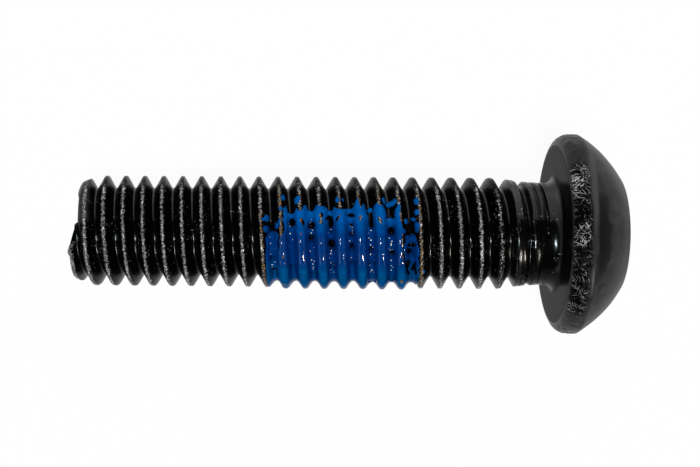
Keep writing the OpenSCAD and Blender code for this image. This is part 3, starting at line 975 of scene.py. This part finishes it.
def steel_parts():
    """The screw's grids with their faces and looks, from the thread to the head."""
    parts = []
    for s, angle in (thread_grid(), neck_grid()):
        r = thread_radius(s, angle)
        parts.append((local(s, angle, r), grid_faces(*s.shape), thread_looks(s, angle, r)))
    s, angle, faces = seam_fan()
    parts.append((local(s, angle, thread_radius(s, angle)), faces, {"crest": END_WORN}))
    s, angle, r = tip_grid()
    worn = END_WORN * smooth(r, 2.3, 2.5) * (1 - 0.9 * hollow_side(angle))
    parts.append((local(s, angle, r), grid_faces(*s.shape), {"crest": worn}))
    s, r, angle = fillet_grid()
    parts.append((local(s, angle, r), grid_faces(*s.shape), fillet_looks(s, angle)))
    points, faces = widening_strip()
    parts.append((points, faces, {"head": BEARING_SATIN, "dull": 1.0}))
    s, r, angle = head_grid()
    parts.append((local(s, angle, r), grid_faces(*s.shape), head_looks(s, r, angle)))
    return parts


def steel_piece():
    """The whole screw."""
    piece = welded("screw_steel", steel_parts(), STEEL_LAYERS)
    piece.data.set_sharp_from_angle(angle=math.radians(50))
    piece.data.materials.append(black_steel())
    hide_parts("screw")
    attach(piece, "root")
    return piece


def nylon_piece():
    """The locking patch."""
    piece = welded("nylon_patch", patch_parts(), NYLON_LAYERS)
    loose = bmesh.new()
    loose.from_mesh(piece.data)
    bmesh.ops.delete(loose, geom=[v for v in loose.verts if not v.link_faces], context="VERTS")
    loose.to_mesh(piece.data)
    loose.free()
    piece.data.materials.append(blue_nylon())
    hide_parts("locking_patch")
    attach(piece, "root")
    return piece


# Floor, light and camera. The floor's half width, and how white it is where only its look counts
FLOOR_HALF, FLOOR_WHITE = 0.6, 0.955
# Strength of the tent's cloth and of its dark openings, and how much brighter it is towards +Y
TENT, DARK, BRIGHT_SIDE = 0.35, 0.004, 2.1
# The opening above leans so many degrees towards -Y, and its edge is soft between these angles
TENT_LEAN, OPENING_ANGLES = 25, (58.5, 62)
# The sun lamp: power, width and lean towards -Y in degrees
TOP_POWER, TOP_WIDTH, TOP_LEAN = 3.4, 20, 12
# How far away the lamps hang, and the strip lamps' size along and across the screw
TOP_AWAY, STRIP_AWAY, STRIP_SIZE = 0.3, 0.5, (0.02, 0.12)
CLIP_FROM, CLIP_TO = 0.005, 2.0


def floor():
    """White to the camera and in mirrorings, with a faint shadow, and grey to all other rays."""
    low = cad_box[0][2]
    mesh = bpy.data.meshes.new("floor")
    signs = ((-1, -1), (1, -1), (1, 1), (-1, 1))
    corners = [(x * FLOOR_HALF, y * FLOOR_HALF, low) for x, y in signs]
    mesh.from_pydata(corners, [], [(0, 1, 2, 3)])
    made = linked("floor", mesh)
    material = bpy.data.materials.new("pale_floor")
    tree, shader = nodes_of(material)
    shader.inputs["Base Color"].default_value = (0.8, 0.8, 0.8, 1)
    shader.inputs["Roughness"].default_value = 1.0
    shader.inputs["Specular IOR Level"].default_value = 0.0
    white = add(tree, "Emission", Strength=1.0)
    mix = add(tree, "MixShader")
    path = add(tree, "LightPath")
    shown = largest(tree, path.outputs["Is Camera Ray"], path.outputs["Is Glossy Ray"])
    shown = largest(tree, shown, path.outputs["Is Transmission Ray"])
    tree.links.new(times(tree, shown, FLOOR_WHITE), mix.inputs[0])
    tree.links.new(shader.outputs[0], mix.inputs[1])
    tree.links.new(white.outputs[0], mix.inputs[2])
    tree.links.new(mix.outputs[0], tree.nodes["Material Output"].inputs["Surface"])
    mesh.materials.append(material)


def facing(tree, where, direction):
    """1 in this direction and -1 in the opposite one."""
    node = add(tree, "VectorMath", operation="DOT_PRODUCT")
    tree.links.new(where, node.inputs[0])
    node.inputs[1].default_value = direction
    return node.outputs["Value"]


def surroundings():
    """A light tent, open above the screw and on the side towards -Y; white to the camera."""
    world = bpy.data.worlds.new("studio")
    bpy.context.scene.world = world
    world.use_nodes = True
    tree = world.node_tree
    tree.nodes.clear()
    where = add(tree, "TexCoord").outputs["Generated"]
    lean = math.radians(TENT_LEAN)
    above = facing(tree, where, (0.0, -math.sin(lean), math.cos(lean)))
    inner, outer = (math.cos(math.radians(angle)) for angle in OPENING_ANGLES)
    tent = ramp(tree, above, inner, outer, DARK, TENT)
    side = facing(tree, where, (0.0, -1.0, 0.0))
    wall = ramp(tree, side, 0.75, 0.45, DARK * 3, TENT * BRIGHT_SIDE)
    lit = times(tree, tent, ramp(tree, side, -0.3, -0.8, 1.0, BRIGHT_SIDE))
    strength = joined(tree, "MINIMUM", lit, wall)
    strength = largest(tree, strength, add(tree, "LightPath").outputs["Is Camera Ray"])
    back = add(tree, "Background")
    back.inputs["Color"].default_value = (1, 1, 1, 1)
    tree.links.new(strength, back.inputs["Strength"])
    out = add(tree, "OutputWorld")
    tree.links.new(back.outputs[0], out.inputs["Surface"])


def hung(name, data, toward, away):
    """A lamp that hangs so far away in one direction and shines back at the screw."""
    made = linked(name, data)
    made.rotation_mode = "QUATERNION"
    made.rotation_quaternion = toward.to_track_quat("Z", "Y")
    made.location = toward * away
    return made


def soft_top():
    """A distant lamp above the screw, which the finish doesn't mirror."""
    data = bpy.data.lights.new("soft_top", "SUN")
    data.energy = TOP_POWER
    data.angle = math.radians(TOP_WIDTH)
    lean = math.radians(TOP_LEAN)
    made = hung("soft_top", data, Vector((-0.1, -math.sin(lean), math.cos(lean))), TOP_AWAY)
    made.visible_glossy = False


def strip(name, power, toward, colour):
    """A narrow soft box, longer from left to right of the screw than along it."""
    data = bpy.data.lights.new(name, "AREA")
    data.shape = "RECTANGLE"
    data.size, data.size_y = STRIP_SIZE
    data.energy = power
    data.color = colour
    made = hung(name, data, Vector(toward).normalized(), STRIP_AWAY)
    made.visible_diffuse = False


def camera():
    """The photograph's own camera."""
    data = bpy.data.cameras.new("camera")
    data.sensor_width, data.lens, data.shift_x = SENSOR, LENS, SHIFT
    data.clip_start, data.clip_end = CLIP_FROM, CLIP_TO
    to_world = np.stack([ALONG, ASIDE, ABOVE], axis=1)
    right, up = to_world @ CAMERA_RIGHT, to_world @ CAMERA_UP
    right /= np.linalg.norm(right)
    back = np.cross(right, up)
    back /= np.linalg.norm(back)
    up = np.cross(back, right)
    place = lay(CAMERA_AT)[0]
    rows = [[right[k], up[k], back[k], place[k]] for k in range(3)] + [[0, 0, 0, 1]]
    made = linked("camera", data)
    made.matrix_world = Matrix(rows)
    bpy.context.scene.camera = made


steel_piece()
nylon_piece()
floor()
surroundings()
soft_top()
strip("key", 3.4, (0.42, -0.69, 0.60), (1, 0.95, 0.85))
strip("second", 1.2, (-0.42, -0.30, 0.85), (0.8, 0.93, 1))
camera()
bpy.context.scene.view_settings.view_transform = "Standard"
